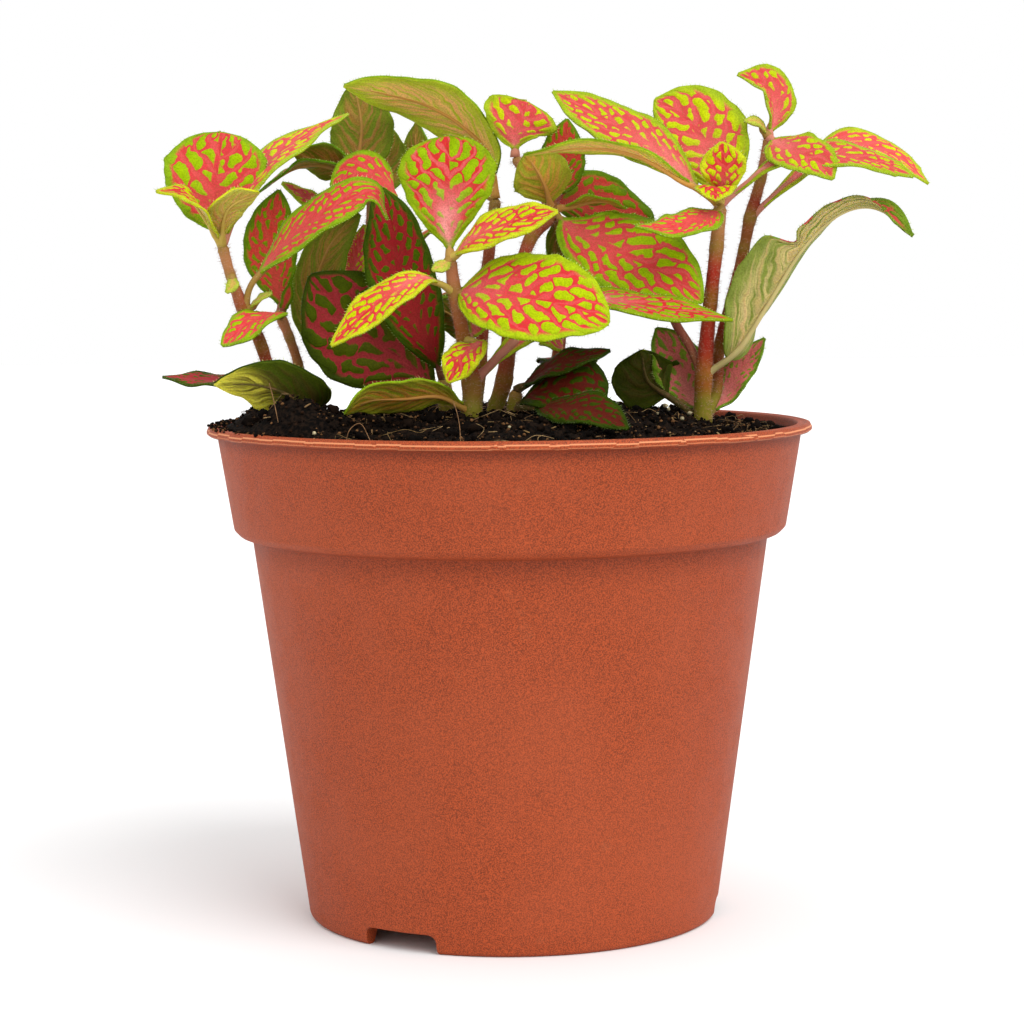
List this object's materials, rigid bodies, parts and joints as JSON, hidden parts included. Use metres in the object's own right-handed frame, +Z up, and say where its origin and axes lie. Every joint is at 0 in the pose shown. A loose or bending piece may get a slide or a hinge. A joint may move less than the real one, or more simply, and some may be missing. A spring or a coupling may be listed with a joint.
{
  "type": "potted nerve plant",
  "caption": "Bushy nerve plant with red-netted lime, pink and dark green leaves on short upright stems, rooted in dark soil in a plain terracotta-coloured plastic nursery pot.",
  "frame": {"origin": "middle of the pot's underside, on the surface that the pot stands on", "axes": "+Z up along the pot's axis, -Y towards the side shown in the picture, +X to that view's right"},
  "size_m": [0.1506, 0.12, 0.1689],
  "materials": {
    "pot": "thin moulded polypropylene, matte, terracotta orange with a faint speckle",
    "soil": null,
    "foliage": null
  },
  "bodies": {
    "root": {"pot": "pot", "soil": "soil", "stem_left": "foliage", "stem_left_rear": "foliage", "stem_low_left": "foliage", "stem_back_left": "foliage", "stem_back_centre": "foliage", "stem_centre": "foliage", "stem_tall": "foliage", "stem_low_centre": "foliage", "stem_right": "foliage", "stem_rear_right": "foliage", "stem_rear_left": "foliage"}
  },
  "joints": []
}
